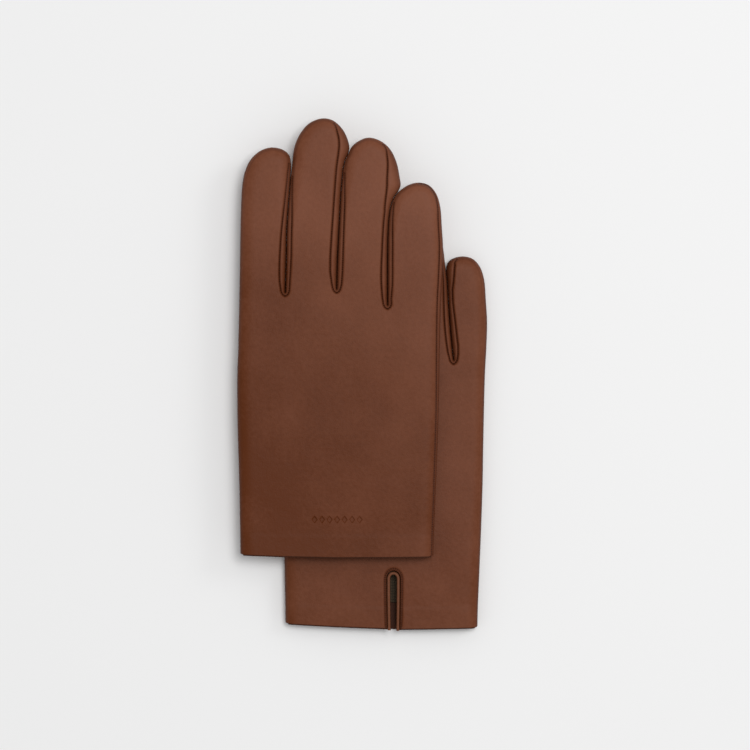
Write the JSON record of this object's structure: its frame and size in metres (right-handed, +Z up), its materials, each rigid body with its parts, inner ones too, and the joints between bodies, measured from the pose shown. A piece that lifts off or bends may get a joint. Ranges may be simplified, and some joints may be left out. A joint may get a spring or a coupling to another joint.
{
  "type": "touchscreen gloves",
  "caption": "Lined nappa leather touchscreen gloves laid palm to palm, with turned cuffs, bound palm vents, conductive tips and fingers that fold up at the knuckles.",
  "frame": {"origin": "middle of the pair in plan, on the surface it lies on", "axes": "+Y towards the fingertips, +X towards the little fingers, +Z up"},
  "size_m": [0.1402, 0.2858, 0.0228],
  "materials": {
    "nappa": "smooth brown nappa, satin",
    "trim_leather": "brown leather, satin",
    "knit": "fine dark knit",
    "conductive_knit": "fine grey conductive knit"
  },
  "bodies": {
    "left_glove": {"left_back_panel": "nappa", "left_cuff_facing": "trim_leather", "left_hand_lining": "knit", "left_hand_side_fold": "nappa", "left_hand_side_seam": "nappa", "left_index_outer_fourchette": "nappa", "left_index_touch_tip": "conductive_knit", "left_middle_inner_fourchette": "nappa", "left_middle_outer_fourchette": "nappa", "left_palm_panel": "nappa", "left_ring_inner_fourchette": "nappa", "left_ring_outer_fourchette": "nappa", "left_thumb": "nappa", "left_thumb_lining": "knit", "left_thumb_touch_tip": "conductive_knit", "left_vent_binding": "trim_leather"},
    "left_little_finger": {"left_little_back": "nappa", "left_little_inner_fourchette": "nappa", "left_little_lining": "knit", "left_little_palm": "nappa", "left_little_side_seam": "nappa"},
    "right_glove": {"right_back_panel": "nappa", "right_cuff_facing": "trim_leather", "right_hand_lining": "knit", "right_hand_side_fold": "nappa", "right_hand_side_seam": "nappa", "right_palm_panel": "nappa", "right_thumb": "nappa", "right_thumb_lining": "knit", "right_thumb_touch_tip": "conductive_knit", "right_vent_binding": "trim_leather", "right_ring_fourchette_foot": "nappa"},
    "right_index_finger": {"right_index_back": "nappa", "right_index_lining": "knit", "right_index_outer_fourchette": "nappa", "right_index_palm": "nappa", "right_index_side_fold": "nappa", "right_index_touch_tip": "conductive_knit"},
    "right_middle_finger": {"right_middle_back": "nappa", "right_middle_inner_fourchette": "nappa", "right_middle_lining": "knit", "right_middle_outer_fourchette": "nappa", "right_middle_palm": "nappa"},
    "right_ring_finger": {"right_ring_back": "nappa", "right_ring_inner_fourchette": "nappa", "right_ring_lining": "knit", "right_ring_outer_fourchette": "nappa", "right_ring_palm": "nappa"},
    "right_little_finger": {"right_little_back": "nappa", "right_little_inner_fourchette": "nappa", "right_little_lining": "knit", "right_little_palm": "nappa", "right_little_side_seam": "nappa"}
  },
  "joints": [
    {"name": "right_glove_lift", "type": "slide", "parent": "left_glove", "child": "right_glove", "axis": [0, 0, 1], "range_m": [0, 0.08]},
    {"name": "right_index_knuckle", "type": "hinge", "parent": "right_glove", "child": "right_index_finger", "pos_m": [-0.05493, 0.0454, 0.0228], "axis": [1, 0, 0], "range_deg": [0, 60]},
    {"name": "right_middle_knuckle", "type": "hinge", "parent": "right_glove", "child": "right_middle_finger", "pos_m": [-0.02608, 0.0454, 0.0228], "axis": [1, 0, 0], "range_deg": [0, 60]},
    {"name": "right_ring_knuckle", "type": "hinge", "parent": "right_glove", "child": "right_ring_finger", "pos_m": [0.00247, 0.0454, 0.0228], "axis": [1, 0, 0], "range_deg": [0, 60]},
    {"name": "right_little_knuckle", "type": "hinge", "parent": "right_glove", "child": "right_little_finger", "pos_m": [0.02987, 0.0364, 0.0228], "axis": [1, 0, 0], "range_deg": [0, 60]},
    {"name": "left_little_knuckle", "type": "hinge", "parent": "left_glove", "child": "left_little_finger", "pos_m": [0.05827, 0.0055, 0.011], "axis": [1, 0, 0], "range_deg": [0, 60]}
  ]
}
